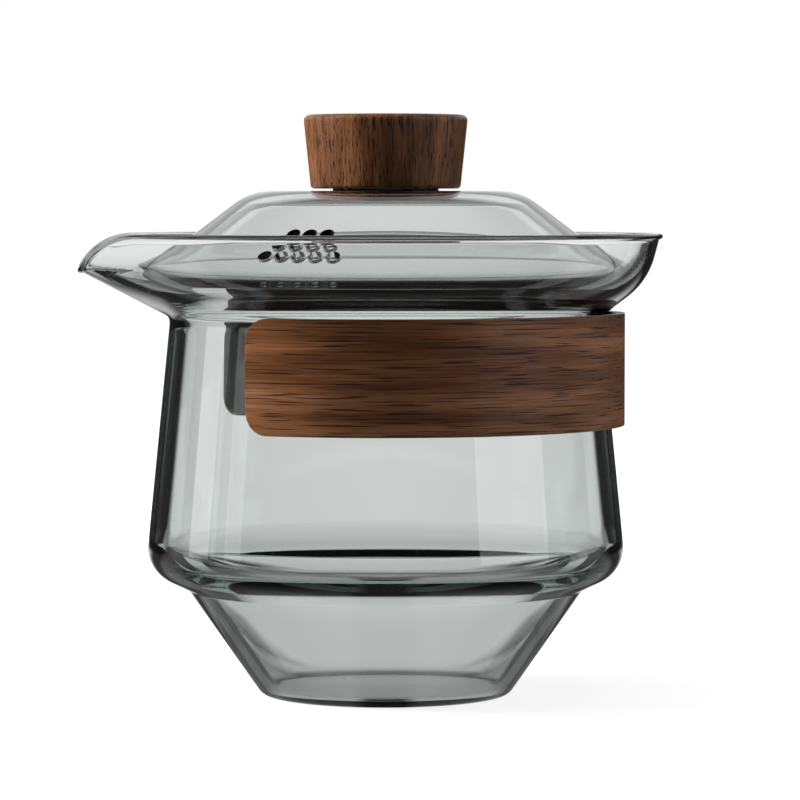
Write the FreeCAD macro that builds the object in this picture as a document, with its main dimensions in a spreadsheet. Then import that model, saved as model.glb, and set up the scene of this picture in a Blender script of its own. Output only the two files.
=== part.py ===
"""Handleless glass teapot: blown pot with a drawn pouring lip, strainer lid, walnut knob and grip band.

Millimetres. The origin is the middle of the foot's underside, +Z is up and the lip points along -X.
"""
import FreeCAD, Part
import os
from math import acos, atan2, copysign, cos, pi, radians, sin, sqrt, tan

import Sketcher

Vector = FreeCAD.Vector

# Driving dimensions: alias, value, what it is
DIMENSIONS = [
    # pot, turned part
    ("wall", 2.2, "glass wall of the pot, up to the neck"),
    ("floor_thickness", 1.6, "glass under the tea"),
    ("base_radius", 21.06, "foot, to the sharp corner"),
    ("base_round", 2.0, "rounding of the foot's corner"),
    ("cone_angle", 35.0, "foot cone, from the vertical"),
    ("crease_height", 18.0, "valley between foot cone and bulge"),
    ("crease_round", 0.6, "rounding in the valley"),
    ("inner_crease_round", 1.5, "rounding inside the pot behind the valley"),
    ("shelf_thickening", 0.15, "glass added to the wall of the shelf over the valley, share of its width"),
    ("bulge_height", 21.5, "bulge, to the sharp corner"),
    ("bulge_round", 6.0, "rounding of the bulge"),
    ("inside_round", 2.0, "rounding of the floor's corner inside"),
    ("taper_angle", 5.65, "body taper, from the vertical"),
    ("neck_radius", 36.63, "neck, to the sharp corner"),
    ("neck_height", 64.3, "neck, to the sharp corner"),
    ("joint_below", 3.0, "joint of turned part and bowl, down the taper from the neck's corner"),
    # pot, bowl and lip
    ("neck_round", 2.0, "outside rounding between taper and flare"),
    ("inner_neck_round", 6.0, "inside rounding between taper and flare"),
    ("flare_run", 0.7845, "bowl's sharp corner, share of the way out from neck to rim"),
    ("flare_rise", 0.43, "bowl's sharp corner, share of the way up from neck to rim"),
    ("bowl_round", 12.7, "outside rounding between flare and upper wall"),
    ("rim_radius", 46.7, "rim, outside"),
    ("rim_height", 78.5, "rim plane"),
    ("rim_wall", 1.05, "glass wall at the rim, to which the bowl thins"),
    ("thinning_height", 8.9, "height above the neck over which the bowl's wall thins"),
    ("rim_round", 0.45, "fire-polished rounding of both rim edges"),
    ("lip_overhang", 5.3, "lip's tip beyond the rim's radius"),
    ("lip_drop", 6.2, "underside of the lip's tip below the rim plane"),
    ("lip_turn", 4.0, "side view of the lip's front as it turns up, mostly trimmed away"),
    ("lip_round", 9.0, "lip's tip seen from above, at the rim"),
    ("lip_narrowing", 0.35, "loss of tip radius for each unit below the rim"),
    ("dip_radius", 10.7, "side view of the lip's edge as it dips"),
    ("dip_inset", 4.1, "where the lip's edge leaves the rim plane, inside the rim's radius"),
    # lid
    ("lid_wall", 1.6, "glass wall of the lid"),
    ("lid_inset", 4.95, "lid's edge inside the rim's radius"),
    ("lid_slope", 37.0, "lid's slope, from the horizontal"),
    ("slope_run", 18.85, "shoulder's sharp corner inside the lid's edge"),
    ("shoulder_round", 10.0, "outside rounding of the shoulder"),
    ("lid_edge_round", 0.75, "fire-polished rounding of the lid's lower edge, both sides"),
    ("lid_seat_clearance", 0.15, "room between the lid's lower edge and the bowl"),
    ("hole_diameter", 2.4, "strainer hole"),
    ("hole_pitch", 3.0, "strainer holes in a row, and rows along the slope"),
    ("strainer_inset", 7.15, "middle row of the strainer inside the lid's edge"),
    ("strainer_angle", 62.0, "strainer's middle from the lip, about the axis"),
    ("boss_radius", 9.0, "low glass boss under the knob"),
    ("boss_height", 0.4, "low glass boss under the knob"),
    ("stub_radius", 4.5, "glass stub inside the knob"),
    ("stub_height", 5.5, "glass stub above the boss"),
    # knob and its bond
    ("bond_thickness", 0.6, "cured adhesive between stub and knob"),
    ("bond_clearance", 0.05, "room on either side of the adhesive"),
    ("knob_bottom_radius", 12.7, "knob, lower end"),
    ("knob_top_radius", 14.0, "knob, upper end"),
    ("knob_height", 12.5, "knob"),
    ("knob_top_round", 1.0, "rounding of the knob's upper edge"),
    ("knob_bottom_round", 0.7, "rounding of the knob's lower edge"),
    # grip band
    ("band_height", 19.0, "band and lining"),
    ("band_thickness", 1.55, "wood"),
    ("band_gap_angle", 48.5, "band's ends from the middle of its gap, about the axis"),
    ("band_turned", 1.9, "middle of the band's gap from the lip, about the axis"),
    ("band_corner", 4.0, "rounding of the band's corners, seen from outside"),
    ("band_edge_round", 0.35, "softening of the band's outer edges"),
    ("band_clearance", 0.18, "room between lining and taper at the band's lower edge"),
    ("flare_clearance", 1.05, "level room between lining and flare at the band's upper edge"),
    ("lining_thickness", 0.4, "lining"),
    ("lining_bond", 0.08, "glue line between lining and wood"),
]

# Strainer rows from the top down
STRAINER_ROWS = (3, 4, 5)

# Stations up the bowl's skins: on the lines of body, flare and side, and on the arcs of neck and bowl
LINE_STATIONS = (2, 2, 6)
ARC_STATIONS = (4, 8)

# Angles about the axis, measured from the lip, at which the bowl's sections are taken
LIP_ANGLES = [2.5 * step for step in range(-18, 19)]
SIDE_ANGLES = [52.5 + 7.5 * step for step in range(17)]
SECTION_ANGLES = [-180.0] + [-angle for angle in reversed(SIDE_ANGLES)] + LIP_ANGLES + SIDE_ANGLES

doc = FreeCAD.newDocument("glass_teapot")


def make_sheet():
    """Puts the driving dimensions in a sheet, one alias each."""
    sheet = doc.addObject("Spreadsheet::Sheet", "dims")
    for row, (alias, value, note) in enumerate(DIMENSIONS, start=1):
        sheet.set(f"A{row}", note)
        sheet.set(f"B{row}", str(value))
        sheet.setAlias(f"B{row}", alias)
    doc.recompute()
    return sheet


dims = make_sheet()
derived = []


def size(alias):
    """Value of one driving dimension."""
    return float(dims.get(alias))


def add_derived(alias, value):
    """Adds a worked-out place to the sheet, so that several pieces can be bound to it."""
    row = len(DIMENSIONS) + 1 + len(derived)
    derived.append(alias)
    dims.set(f"B{row}", repr(value))
    dims.setAlias(f"B{row}", alias)
    doc.recompute()


def turned(point, angle, distance):
    """Moves a (radius, height) point by a distance in the direction of an angle."""
    radius, height = point
    return radius + distance * cos(angle), height + distance * sin(angle)


def crossing(point_a, angle_a, point_b, angle_b):
    """Crossing of two lines, each given by a point and an angle."""
    step_r = point_b[0] - point_a[0]
    step_z = point_b[1] - point_a[1]
    along = (step_r * sin(angle_b) - step_z * cos(angle_b)) / sin(angle_b - angle_a)
    return turned(point_a, angle_a, along)


def between(start, end, share_out, share_up):
    """Point at a share of the way out and a share of the way up from one point to another."""
    return start[0] + (end[0] - start[0]) * share_out, start[1] + (end[1] - start[1]) * share_up


def direction(start, end):
    """Angle of the line from one point to another."""
    return atan2(end[1] - start[1], end[0] - start[0])


# Corners of the bowl's outside, with the tip of the lip's underside
neck_corner = (size("neck_radius"), size("neck_height"))
rim_corner = (size("rim_radius"), size("rim_height"))
bowl_corner = between(neck_corner, rim_corner, size("flare_run"), size("flare_rise"))
lip_tip = (size("rim_radius") + size("lip_overhang"), size("rim_height") - size("lip_drop"))

# Directions along the pot's outside, climbing from the foot to the rim
CONE = radians(90 - size("cone_angle"))
TAPER = radians(90 + size("taper_angle"))
FLARE = direction(neck_corner, bowl_corner)
LEAN = direction(bowl_corner, rim_corner)
LIP_SLOPE = direction(neck_corner, lip_tip)

# Joint of the turned part and the bowl
joint = turned(neck_corner, TAPER, -size("joint_below"))


def taper_radius(height):
    """Outside radius of the tapered body."""
    return neck_corner[0] + (neck_corner[1] - height) * tan(radians(size("taper_angle")))


def wall_at(height):
    """Glass wall of the pot at a height: above the neck it thins evenly to the wall of the rim."""
    share = (height - size("neck_height")) / size("thinning_height")
    return size("wall") + (size("rim_wall") - size("wall")) * min(max(share, 0.0), 1.0)


def inner_line(start, end):
    """Start and direction of the inner skin's line behind a line of the outside."""
    square = direction(start, end) + pi / 2
    first = turned(start, square, wall_at(start[1]))
    return first, direction(first, turned(end, square, wall_at(end[1])))


# Lines and corners of the bowl's inner skin
body_line = inner_line(joint, neck_corner)
flare_line = inner_line(neck_corner, bowl_corner)
side_line = inner_line(bowl_corner, rim_corner)
inner_joint = crossing(*body_line, joint, 0.0)
inner_neck = crossing(*body_line, *flare_line)
inner_bowl = crossing(*flare_line, *side_line)
inner_bowl_round = size("bowl_round") - wall_at(bowl_corner[1])


def corner_arc(corner, before, after, rounding):
    """Centre of the arc that rounds a corner between two directions, and the quarter turn towards it."""
    side = copysign(pi / 2, after - before)
    start = turned(corner, before, -rounding * tan(abs(after - before) / 2))
    return turned(start, before + side, rounding), side


def lid_seat_height():
    """Height of the lid's lower edge when its rounding lies against the flare, arc or side of the bowl."""
    edge = size("lid_edge_round")
    flare = flare_line[1]
    lean = side_line[1]
    centre, side = corner_arc(inner_bowl, flare, lean, inner_bowl_round)
    inside = inner_bowl_round - size("lid_seat_clearance") - edge
    radius = size("lid_radius") - edge
    low = turned(centre, flare - side, inside)
    high = turned(centre, lean - side, inside)
    if radius < low[0]:
        return low[1] - (low[0] - radius) * tan(flare) - edge
    if radius > high[0]:
        return high[1] + (radius - high[0]) * tan(lean) - edge
    return centre[1] - sqrt(inside ** 2 - (radius - centre[0]) ** 2) - edge


def band_top_height():
    """Height at which the lining reaches the flare while its lower edge lies on the taper."""
    taper = tan(radians(size("taper_angle")))
    spare = size("band_clearance") - size("flare_clearance")
    rise = (size("band_height") * taper + spare) * tan(FLARE) / (1 + taper * tan(FLARE))
    return neck_corner[1] + rise


add_derived("crease_radius", size("base_radius") + size("crease_height") / tan(CONE))
add_derived("bulge_radius", taper_radius(size("bulge_height")))
shelf_width = size("bulge_radius") - size("crease_radius")
add_derived("shelf_wall", size("wall") + size("shelf_thickening") * shelf_width)
add_derived("joint_radius", joint[0])
add_derived("joint_height", joint[1])
add_derived("dip_start", size("rim_radius") - size("dip_inset"))
add_derived("lid_radius", size("rim_radius") - size("lid_inset"))
add_derived("lid_shoulder", size("lid_radius") - size("slope_run"))
add_derived("strainer_radius", size("lid_radius") - size("strainer_inset"))
add_derived("lid_seat", lid_seat_height())
lid_slope = radians(size("lid_slope"))
edge_out = size("lid_edge_round") * (sin(lid_slope) + cos(lid_slope) - 1)
edge_up = size("lid_edge_round") * (cos(lid_slope) - sin(lid_slope) + 1)
add_derived("lid_edge_radius", size("lid_radius") + edge_out)
add_derived("lid_edge_height", size("lid_seat") + edge_up)
slope_width = size("lid_edge_radius") - size("lid_shoulder")
add_derived("lid_top", size("lid_edge_height") + slope_width * tan(lid_slope))
add_derived("knob_seat", size("lid_top") + size("boss_height"))
add_derived("band_bottom", band_top_height() - size("band_height"))
add_derived("lining_inside", taper_radius(size("band_bottom")) + size("band_clearance"))
add_derived("wood_inside", size("lining_inside") + size("lining_thickness") + size("lining_bond"))


def new_body(label):
    """Empty body with its label."""
    body = doc.addObject("PartDesign::Body", label)
    body.Label = label
    return body


def new_sketch(body, name, role):
    """Sketch on one of the body's own origin planes."""
    sketch = body.newObject("Sketcher::SketchObject", name)
    plane = next(item for item in body.Origin.OriginFeatures if item.Role == role)
    sketch.AttachmentSupport = [(plane, "")]
    sketch.MapMode = "FlatFace"
    return sketch


def bind(sketch, constraint, expression):
    """Adds a constraint and binds its value to the sheet."""
    index = sketch.addConstraint(constraint)
    sketch.setExpression(f"Constraints[{index}]", expression)


def draw_outline(sketch, corners):
    """Closed outline through (x, y, rounding) corners, each rounding an expression or empty.

    Lines come first, each from its own corner to the next. Gives each corner's anchor: the start of its
    line where it is sharp, and a point where its two lines would meet where it is rounded.
    """
    count = len(corners)
    points = [corner[:2] for corner in corners]
    roundings = [evaluate(sketch, corner[2]) if corner[2] else 0.0 for corner in corners]
    turns = []
    for index, point in enumerate(points):
        angle_in = direction(points[index - 1], point)
        turns.append((direction(point, points[(index + 1) % count]) - angle_in + pi) % (2 * pi) - pi)
    backs = [rounding * tan(abs(turn) / 2) for rounding, turn in zip(roundings, turns)]
    for index, point in enumerate(points):
        after = (index + 1) % count
        heading = direction(point, points[after])
        start = turned(point, heading, backs[index])
        end = turned(points[after], heading, -backs[after])
        sketch.addGeometry(Part.LineSegment(Vector(*start, 0), Vector(*end, 0)), False)
    anchors = []
    for index, (x, y, rounding) in enumerate(corners):
        before = (index - 1) % count
        if rounding:
            anchors.append(round_corner(sketch, (x, y), before, index, turns[index], rounding))
        else:
            sketch.addConstraint(Sketcher.Constraint("Coincident", before, 2, index, 1))
            anchors.append((index, 1))
    return anchors


def round_corner(sketch, corner, before, after, turn, rounding):
    """Arc between two lines, and the point where they would meet."""
    radius = evaluate(sketch, rounding)
    start = sketch.getPoint(before, 2)
    heading = direction(corner, (start.x, start.y)) + pi
    side = pi / 2 if turn > 0 else -pi / 2
    centre = Vector(*turned((start.x, start.y), heading + side, radius), 0)
    first = heading - side
    angles = sorted((first, first + turn))
    circle = Part.Circle(centre, Vector(0, 0, 1), radius)
    arc = sketch.addGeometry(Part.ArcOfCircle(circle, *angles), False)
    near, far = (1, 2) if turn > 0 else (2, 1)
    sketch.addConstraint(Sketcher.Constraint("Tangent", before, 2, arc, near))
    sketch.addConstraint(Sketcher.Constraint("Tangent", after, 1, arc, far))
    bind(sketch, Sketcher.Constraint("Radius", arc, radius), rounding)
    meeting = sketch.addGeometry(Part.Point(Vector(*corner, 0)), True)
    for line in (before, after):
        sketch.addConstraint(Sketcher.Constraint("PointOnObject", meeting, 1, line))
    return meeting, 1


def place_corner(sketch, anchor, x_expression, y_expression):
    """Ties a corner to the sheet, both ways from the origin."""
    for kind, expression in (("DistanceX", x_expression), ("DistanceY", y_expression)):
        if expression == "0":
            axis = -2 if kind == "DistanceX" else -1
            sketch.addConstraint(Sketcher.Constraint("PointOnObject", *anchor, axis))
        else:
            value = evaluate(sketch, expression)
            bind(sketch, Sketcher.Constraint(kind, -1, 1, *anchor, value), expression)


def evaluate(holder, expression):
    """Present value of an expression on the sheet."""
    return float(holder.evalExpression(expression))


def draw_placed(sketch, corners):
    """Closed outline whose every corner is a pair of expressions, with a third for its rounding if any."""
    points = []
    for x_expression, y_expression, *rounding in corners:
        place = evaluate(sketch, x_expression), evaluate(sketch, y_expression)
        points.append((*place, rounding[0] if rounding else ""))
    for anchor, corner in zip(draw_outline(sketch, points), corners):
        place_corner(sketch, anchor, *corner[:2])


def revolve(body, sketch):
    """Full turn of a sketch about its upright axis."""
    doc.recompute()
    feature = body.newObject("PartDesign::Revolution", f"{body.Label}_turning")
    feature.Profile = sketch
    feature.ReferenceAxis = (sketch, ["V_Axis"])
    feature.Angle = 360
    sketch.Visibility = False
    doc.recompute()
    return feature


def fillet(body, base, edge_names, expression):
    """Rounds edges of a body's last feature."""
    feature = body.newObject("PartDesign::Fillet", f"{body.Label}_round")
    feature.Base = (base, edge_names)
    feature.setExpression("Radius", expression)
    doc.recompute()
    return feature


def make_cup():
    """Turned lower pot: foot cone, thick shelf, bulge and tapered body."""
    body = new_body("pot_cup")
    sketch = new_sketch(body, "cup_wall", "XZ_Plane")
    wall = size("wall")
    base = (size("base_radius"), 0.0)
    crease = (size("crease_radius"), size("crease_height"))
    bulge = (size("bulge_radius"), size("bulge_height"))
    shelf = direction(crease, bulge)
    shelf_line = turned(bulge, shelf + pi / 2, size("shelf_wall"))
    cone_line = turned(base, CONE + pi / 2, wall)
    inner_bulge = crossing(*body_line, shelf_line, shelf)
    inner_crease = crossing(cone_line, CONE, shelf_line, shelf)
    inner_base = crossing(cone_line, CONE, (0.0, size("floor_thickness")), 0.0)
    anchors = draw_outline(sketch, [
        (0.0, 0.0, ""),
        (*base, "dims.base_round"),
        (*crease, "dims.crease_round"),
        (*bulge, "dims.bulge_round"),
        (*joint, ""),
        (*inner_joint, ""),
        (*inner_bulge, "dims.bulge_round - dims.wall"),
        (*inner_crease, "dims.inner_crease_round"),
        (*inner_base, "dims.inside_round"),
        (0.0, size("floor_thickness"), ""),
    ])
    place_corner(sketch, anchors[0], "0", "0")
    place_corner(sketch, anchors[1], "dims.base_radius", "0")
    place_corner(sketch, anchors[2], "dims.crease_radius", "dims.crease_height")
    place_corner(sketch, anchors[3], "dims.bulge_radius", "dims.bulge_height")
    place_corner(sketch, anchors[4], "dims.joint_radius", "dims.joint_height")
    place_corner(sketch, anchors[9], "0", "dims.floor_thickness")
    sketch.addConstraint(Sketcher.Constraint("Horizontal", 4))
    sketch.addConstraint(Sketcher.Constraint("Horizontal", 8))
    for inner, outer, alias in ((5, 3, "wall"), (6, 2, "shelf_wall"), (7, 1, "wall")):
        sketch.addConstraint(Sketcher.Constraint("Parallel", inner, outer))
        bind(sketch, Sketcher.Constraint("Distance", inner, 1, outer, size(alias)), f"dims.{alias}")
    revolve(body, sketch)
    return body


def spread(start, end, count):
    """Evenly spread points from a start up to an end, without the end itself."""
    return [between(start, end, part / count, part / count) for part in range(count)]


def bowl_stations(inside):
    """Stations (radius, height) up the bowl's inner or outer skin, from the joint to above the rim."""
    if inside:
        place = inner_joint
        angles = (body_line[1], flare_line[1], side_line[1])
        corners = (inner_neck, inner_bowl)
        roundings = (size("inner_neck_round"), inner_bowl_round)
    else:
        place = joint
        angles = (TAPER, FLARE, LEAN)
        corners = (neck_corner, bowl_corner)
        roundings = (size("neck_round"), size("bowl_round"))
    stations = []
    for index, (corner, rounding) in enumerate(zip(corners, roundings)):
        before, after = angles[index:index + 2]
        centre, side = corner_arc(corner, before, after, rounding)
        stations += spread(place, turned(centre, before - side, rounding), LINE_STATIONS[index])
        for part in range(ARC_STATIONS[index]):
            angle = before + (after - before) * part / ARC_STATIONS[index]
            stations.append(turned(centre, angle - side, rounding))
        place = turned(centre, after - side, rounding)
    above_rim = crossing(place, angles[-1], (0.0, size("rim_height") + size("wall")), 0.0)
    return stations + spread(place, above_rim, LINE_STATIONS[-1]) + [above_rim]


def lip_reach_at(height, inset):
    """Distance of the lip's underside from the axis, which climbs straight and then turns upright."""
    turn = size("lip_turn") - inset
    centre = turned(lip_tip, LIP_SLOPE + pi / 2, size("lip_turn"))
    below = centre[1] - height
    if below <= 0:
        return centre[0] + turn
    if below < turn * cos(LIP_SLOPE):
        return centre[0] + sqrt(turn ** 2 - below ** 2)
    return centre[0] + (turn / cos(LIP_SLOPE) - below) / tan(LIP_SLOPE)


def lip_radius(angle, round_radius, reach, tip_round):
    """Distance from the axis to a level outline: a circle and a smaller tip circle joined by tangents."""
    if reach <= round_radius:
        return round_radius
    middle = reach - tip_round
    leave = acos((round_radius - tip_round) / middle)
    arrive = atan2(tip_round * sin(leave), middle + tip_round * cos(leave))
    angle = abs(angle)
    if angle >= leave:
        return round_radius
    if angle >= arrive:
        return round_radius / cos(leave - angle)
    return middle * cos(angle) + sqrt(tip_round ** 2 - (middle * sin(angle)) ** 2)


def bowl_outline(radius, height, inset):
    """Level outline of the bowl's outside, or of its inside when inset, as one smooth closed edge."""
    reach = lip_reach_at(height, inset)
    tip_round = size("lip_round") - (size("rim_height") - height) * size("lip_narrowing") - inset
    points = []
    for degree in SECTION_ANGLES:
        angle = radians(degree)
        distance = lip_radius((angle + pi) % (2 * pi) - pi, radius, reach, tip_round)
        points.append(Vector(-distance * cos(angle), -distance * sin(angle), height))
    curve = Part.BSplineCurve()
    knots = [degree / 360 for degree in SECTION_ANGLES] + [SECTION_ANGLES[0] / 360 + 1]
    curve.interpolate(Points=points, PeriodicFlag=True, Parameters=knots)
    return Part.Wire([curve.toShape()])


def make_bowl_side(name, inside):
    """Solid within the bowl's outer skin, or within its inner skin."""
    outlines = []
    for radius, height in bowl_stations(inside):
        outlines.append(bowl_outline(radius, height, wall_at(height) if inside else 0.0))
    side = doc.addObject("Part::Feature", name)
    side.Shape = Part.makeLoft(outlines, True, False)
    return side


def make_trim():
    """Block above the rim plane, with the round dip of the lip's edge on its lower side."""
    body = new_body("rim_trim")
    sketch = new_sketch(body, "trim_side", "XZ_Plane")
    rim = size("rim_height")
    dip = size("dip_radius")
    dip_start = size("dip_start")
    reach = 2 * size("rim_radius")
    top = rim + size("rim_radius")
    centre = Vector(-dip_start, rim - dip, 0)
    sketch.addGeometry(Part.ArcOfCircle(Part.Circle(centre, Vector(0, 0, 1), dip), pi / 2, pi), False)
    corners = [Vector(-dip_start - dip, rim - dip, 0), Vector(-reach, rim - dip, 0), Vector(-reach, top, 0),
               Vector(reach, top, 0), Vector(reach, rim, 0), Vector(-dip_start, rim, 0)]
    for start, end in zip(corners, corners[1:]):
        sketch.addGeometry(Part.LineSegment(start, end), False)
    sketch.addConstraint(Sketcher.Constraint("Tangent", 5, 2, 0, 1))
    sketch.addConstraint(Sketcher.Constraint("Coincident", 0, 2, 1, 1))
    for index in range(1, 5):
        sketch.addConstraint(Sketcher.Constraint("Coincident", index, 2, index + 1, 1))
    for index in (1, 3, 5):
        sketch.addConstraint(Sketcher.Constraint("Horizontal", index))
    for index in (2, 4):
        sketch.addConstraint(Sketcher.Constraint("Vertical", index))
    bind(sketch, Sketcher.Constraint("Radius", 0, dip), "dims.dip_radius")
    bind(sketch, Sketcher.Constraint("DistanceX", 0, 3, -1, 1, dip_start), "dims.dip_start")
    bind(sketch, Sketcher.Constraint("DistanceY", -1, 1, 5, 1, rim), "dims.rim_height")
    sketch.addConstraint(Sketcher.Constraint("Horizontal", 0, 3, 0, 2))
    bind(sketch, Sketcher.Constraint("DistanceX", 2, 1, -1, 1, reach), "2 * dims.rim_radius")
    bind(sketch, Sketcher.Constraint("DistanceX", -1, 1, 4, 1, reach), "2 * dims.rim_radius")
    bind(sketch, Sketcher.Constraint("DistanceY", -1, 1, 3, 1, top), "dims.rim_height + dims.rim_radius")
    doc.recompute()
    pad = body.newObject("PartDesign::Pad", "trim_block")
    pad.Profile = sketch
    pad.Midplane = True
    pad.setExpression("Length", "4 * dims.rim_radius")
    sketch.Visibility = False
    doc.recompute()
    return body


def cut(name, base, tool):
    """One piece less another."""
    feature = doc.addObject("Part::Cut", name)
    feature.Base = base
    feature.Tool = tool
    doc.recompute()
    return feature


def edge_follows_rim(edge):
    """True for an edge that lies on the rim plane or on the lip's dip."""
    first, last = edge.ParameterRange
    for part in range(5):
        point = edge.valueAt(first + (last - first) * part / 4)
        beyond = max(0.0, -point.x - size("dip_start"))
        drop = size("dip_radius") - sqrt(max(0.0, size("dip_radius") ** 2 - beyond ** 2))
        if abs(point.z - size("rim_height") + drop) > 0.01:
            return False
    return True


def make_pot():
    """Glass pot: turned cup and lipped bowl, one piece of glass."""
    cup = make_cup()
    outside = make_bowl_side("bowl_outside", False)
    inside = make_bowl_side("bowl_inside", True)
    shell = cut("bowl_shell", outside, inside)
    trimmed = cut("bowl_trimmed", shell, make_trim())
    polished = doc.addObject("Part::Fillet", "bowl")
    polished.Base = trimmed
    edges = enumerate(trimmed.Shape.Edges, start=1)
    rim_round = size("rim_round")
    polished.Edges = [(index, rim_round, rim_round) for index, edge in edges if edge_follows_rim(edge)]
    doc.recompute()
    pot = doc.addObject("Part::Fuse", "glass_pot")
    pot.Base = cup
    pot.Tool = polished
    pot.Label = "glass_pot"
    doc.recompute()
    return pot


def make_lid_shell():
    """Turned lid: dome with a rounded edge, low boss and the stub that carries the knob."""
    body = new_body("lid_shell")
    sketch = new_sketch(body, "lid_wall_profile", "XZ_Plane")
    half_shoulder = "dims.lid_wall * tan(dims.lid_slope * 0.5deg)"
    inner_edge_radius = "dims.lid_edge_radius - dims.lid_wall * sin(dims.lid_slope * 1deg)"
    inner_edge_height = "dims.lid_edge_height - dims.lid_wall * cos(dims.lid_slope * 1deg)"
    corners = [
        ("0", "dims.knob_seat + dims.stub_height"),
        ("0", "dims.lid_top - dims.lid_wall"),
        (f"dims.lid_shoulder - {half_shoulder}", "dims.lid_top - dims.lid_wall",
         "dims.shoulder_round - dims.lid_wall"),
        (inner_edge_radius, inner_edge_height, "dims.lid_edge_round"),
        ("dims.lid_edge_radius", "dims.lid_edge_height", "dims.lid_edge_round"),
        ("dims.lid_shoulder", "dims.lid_top", "dims.shoulder_round"),
        ("dims.boss_radius", "dims.lid_top"),
        ("dims.boss_radius", "dims.knob_seat"),
        ("dims.stub_radius", "dims.knob_seat"),
        ("dims.stub_radius", "dims.knob_seat + dims.stub_height"),
    ]
    draw_placed(sketch, corners)
    revolve(body, sketch)
    return body


def make_strainer_drills():
    """Drills for the strainer: staggered rows, each hole square to the lid's slope."""
    pitch = size("hole_pitch")
    reach = 2 * size("lid_wall")
    drills = []
    for row, count in enumerate(STRAINER_ROWS):
        row_radius = size("strainer_radius") + (row - 1) * pitch * cos(lid_slope)
        height = size("lid_top") - (row_radius - size("lid_shoulder")) * tan(lid_slope)
        for place in range(count):
            turn = radians(180 + size("strainer_angle")) + (place - (count - 1) / 2) * pitch / row_radius
            outward = Vector(cos(turn), sin(turn), 0)
            square = outward * sin(lid_slope) + Vector(0, 0, cos(lid_slope))
            drill = doc.addObject("Part::Cylinder", "strainer_drill")
            drill.setExpression("Radius", "dims.hole_diameter / 2")
            drill.setExpression("Height", "4 * dims.lid_wall")
            start = outward * row_radius + Vector(0, 0, height) - square * reach
            drill.Placement = FreeCAD.Placement(start, FreeCAD.Rotation(Vector(0, 0, 1), square))
            drills.append(drill)
    group = doc.addObject("Part::MultiFuse", "strainer_drills")
    group.Shapes = drills
    doc.recompute()
    return group


def make_lid():
    """Glass lid with its strainer."""
    lid = cut("glass_lid", make_lid_shell(), make_strainer_drills())
    lid.Label = "glass_lid"
    return lid


def make_bond():
    """Cap of cured adhesive over the stub."""
    body = new_body("knob_bond")
    sketch = new_sketch(body, "bond_profile", "XZ_Plane")
    inner = "dims.stub_radius + dims.bond_clearance"
    outer = f"{inner} + dims.bond_thickness"
    foot = "dims.knob_seat + dims.bond_clearance"
    ceiling = "dims.knob_seat + dims.stub_height + dims.bond_clearance"
    draw_placed(sketch, [
        (inner, foot),
        (outer, foot),
        (outer, f"{ceiling} + dims.bond_thickness"),
        ("0", f"{ceiling} + dims.bond_thickness"),
        ("0", ceiling),
        (inner, ceiling),
    ])
    revolve(body, sketch)
    return body


def make_knob():
    """Walnut knob: a cone that widens upwards, with a blind bore for the stub."""
    body = new_body("lid_knob")
    sketch = new_sketch(body, "knob_profile", "XZ_Plane")
    bore = "dims.stub_radius + 2 * dims.bond_clearance + dims.bond_thickness"
    bore_top = "dims.knob_seat + dims.stub_height + 2 * dims.bond_clearance + dims.bond_thickness"
    draw_placed(sketch, [
        (bore, "dims.knob_seat"),
        ("dims.knob_bottom_radius", "dims.knob_seat", "dims.knob_bottom_round"),
        ("dims.knob_top_radius", "dims.knob_seat + dims.knob_height", "dims.knob_top_round"),
        ("0", "dims.knob_seat + dims.knob_height"),
        ("0", bore_top),
        (bore, bore_top),
    ])
    revolve(body, sketch)
    return body


def make_open_ring(label, inner, thickness):
    """Upright ring round the neck, open at the lip, with rounded corners at its ends."""
    body = new_body(label)
    sketch = new_sketch(body, f"{label}_plan", "XY_Plane")
    sketch.setExpression("AttachmentOffset.Base.z", "dims.band_bottom")
    sketch.setExpression("AttachmentOffset.Rotation.Angle", "dims.band_turned * 1deg")
    gap = radians(size("band_gap_angle"))
    inner_radius = evaluate(sketch, inner)
    outer_radius = inner_radius + evaluate(sketch, thickness)
    first = gap - pi
    last = pi - gap
    for radius in (outer_radius, inner_radius):
        circle = Part.Circle(Vector(0, 0, 0), Vector(0, 0, 1), radius)
        sketch.addGeometry(Part.ArcOfCircle(circle, first, last), False)
    for angle in (first, last):
        ends = [Vector(radius * cos(angle), radius * sin(angle), 0) for radius in (outer_radius, inner_radius)]
        sketch.addGeometry(Part.LineSegment(*ends), False)
    for arc in (0, 1):
        sketch.addConstraint(Sketcher.Constraint("Coincident", arc, 3, -1, 1))
        for end in (1, 2):
            sketch.addConstraint(Sketcher.Constraint("Coincident", arc, end, 1 + end, arc + 1))
        sketch.addConstraint(Sketcher.Constraint("Symmetric", arc, 1, arc, 2, -1))
    opening = "2 * sin(dims.band_gap_angle * 1deg)"
    sizes = ((0, outer_radius, f"({inner} + {thickness})"), (1, inner_radius, f"({inner})"))
    for arc, radius, text in sizes:
        bind(sketch, Sketcher.Constraint("Radius", arc, radius), text)
        span = 2 * radius * sin(gap)
        bind(sketch, Sketcher.Constraint("DistanceY", arc, 1, arc, 2, span), f"{text} * {opening}")
    doc.recompute()
    pad = body.newObject("PartDesign::Pad", f"{label}_height")
    pad.Profile = sketch
    pad.setExpression("Length", "dims.band_height")
    sketch.Visibility = False
    doc.recompute()
    ends = []
    for index, edge in enumerate(pad.Shape.Edges, start=1):
        low, high = (vertex.Point for vertex in edge.Vertexes)
        if isinstance(edge.Curve, Part.Line) and abs(low.z - high.z) < 0.001:
            ends.append(f"Edge{index}")
    return body, fillet(body, pad, ends, "dims.band_corner")


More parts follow.
